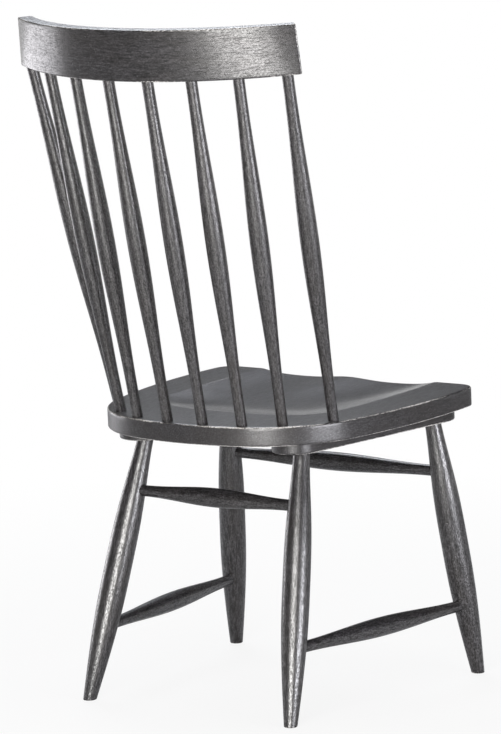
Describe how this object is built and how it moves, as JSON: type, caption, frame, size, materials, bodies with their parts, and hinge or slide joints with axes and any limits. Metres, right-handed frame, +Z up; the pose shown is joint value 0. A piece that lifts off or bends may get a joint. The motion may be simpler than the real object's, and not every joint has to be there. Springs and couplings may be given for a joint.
{
  "type": "windsor chair",
  "caption": "High-backed windsor side chair with a saddled seat on cleats, turned spindles under a curved crest rail, and turned legs with stretchers.",
  "frame": {"origin": "middle of the chair's outer box in plan, on the floor", "axes": "+Z up, the sitter faces -Y, and the sitter's left is +X"},
  "size_m": [0.522, 0.6014, 1.0654],
  "materials": {
    "stained_wood": "charcoal stain under satin lacquer",
    "screw_steel": "zinc plated"
  },
  "bodies": {
    "root": {"seat": "stained_wood", "left_cleat": "stained_wood", "right_cleat": "stained_wood", "cleat_screws": "screw_steel", "back_leg_left": "stained_wood", "back_leg_right": "stained_wood", "front_leg_left": "stained_wood", "front_leg_right": "stained_wood", "back_stretcher": "stained_wood", "front_stretcher": "stained_wood", "left_stretcher": "stained_wood", "right_stretcher": "stained_wood", "spindle_left_1": "stained_wood", "spindle_left_2": "stained_wood", "spindle_left_3": "stained_wood", "spindle_left_4": "stained_wood", "spindle_right_1": "stained_wood", "spindle_right_2": "stained_wood", "spindle_right_3": "stained_wood", "spindle_right_4": "stained_wood", "crest_rail": "stained_wood"}
  },
  "joints": []
}
